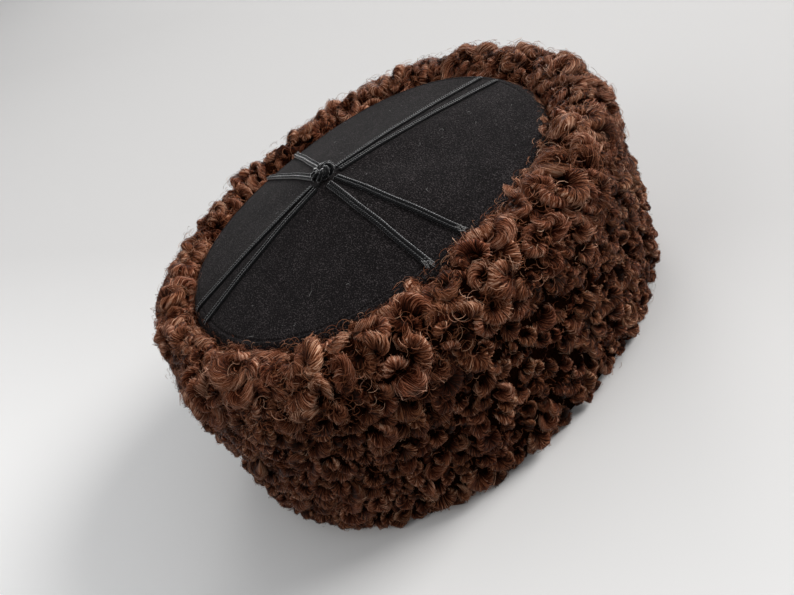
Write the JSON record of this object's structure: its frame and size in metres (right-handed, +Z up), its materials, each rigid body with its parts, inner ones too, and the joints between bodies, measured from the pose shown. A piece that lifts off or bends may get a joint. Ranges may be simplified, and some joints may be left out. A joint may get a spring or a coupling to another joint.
{
  "type": "curled lambskin hat with cloth crown",
  "caption": "Low oval hat: a thick band of tightly curled brown lambskin round a domed black cloth crown crossed by braids that meet at a cord knot.",
  "frame": {"origin": "middle of the hem's outline, on the surface that the hat rests on", "axes": "+Z up, -Y the way the wearer faces, +X the wearer's left"},
  "size_m": [0.2029, 0.2509, 0.1253],
  "materials": {
    "hide": "plain suede flesh side of the skin",
    "fur": "curled lambskin, dark brown with a soft sheen",
    "cloth": "black felted wool",
    "braid": "glossy black cord"
  },
  "bodies": {
    "root": {"pelt_wall": "hide", "fleece_band": "fur", "crown_cloth": "cloth", "braid_front_1": "braid", "braid_front_2": "braid", "braid_back_1": "braid", "braid_back_2": "braid", "braid_right_1": "braid", "braid_right_2": "braid", "braid_left_1": "braid", "braid_left_2": "braid", "crown_knot": "braid"}
  },
  "joints": []
}
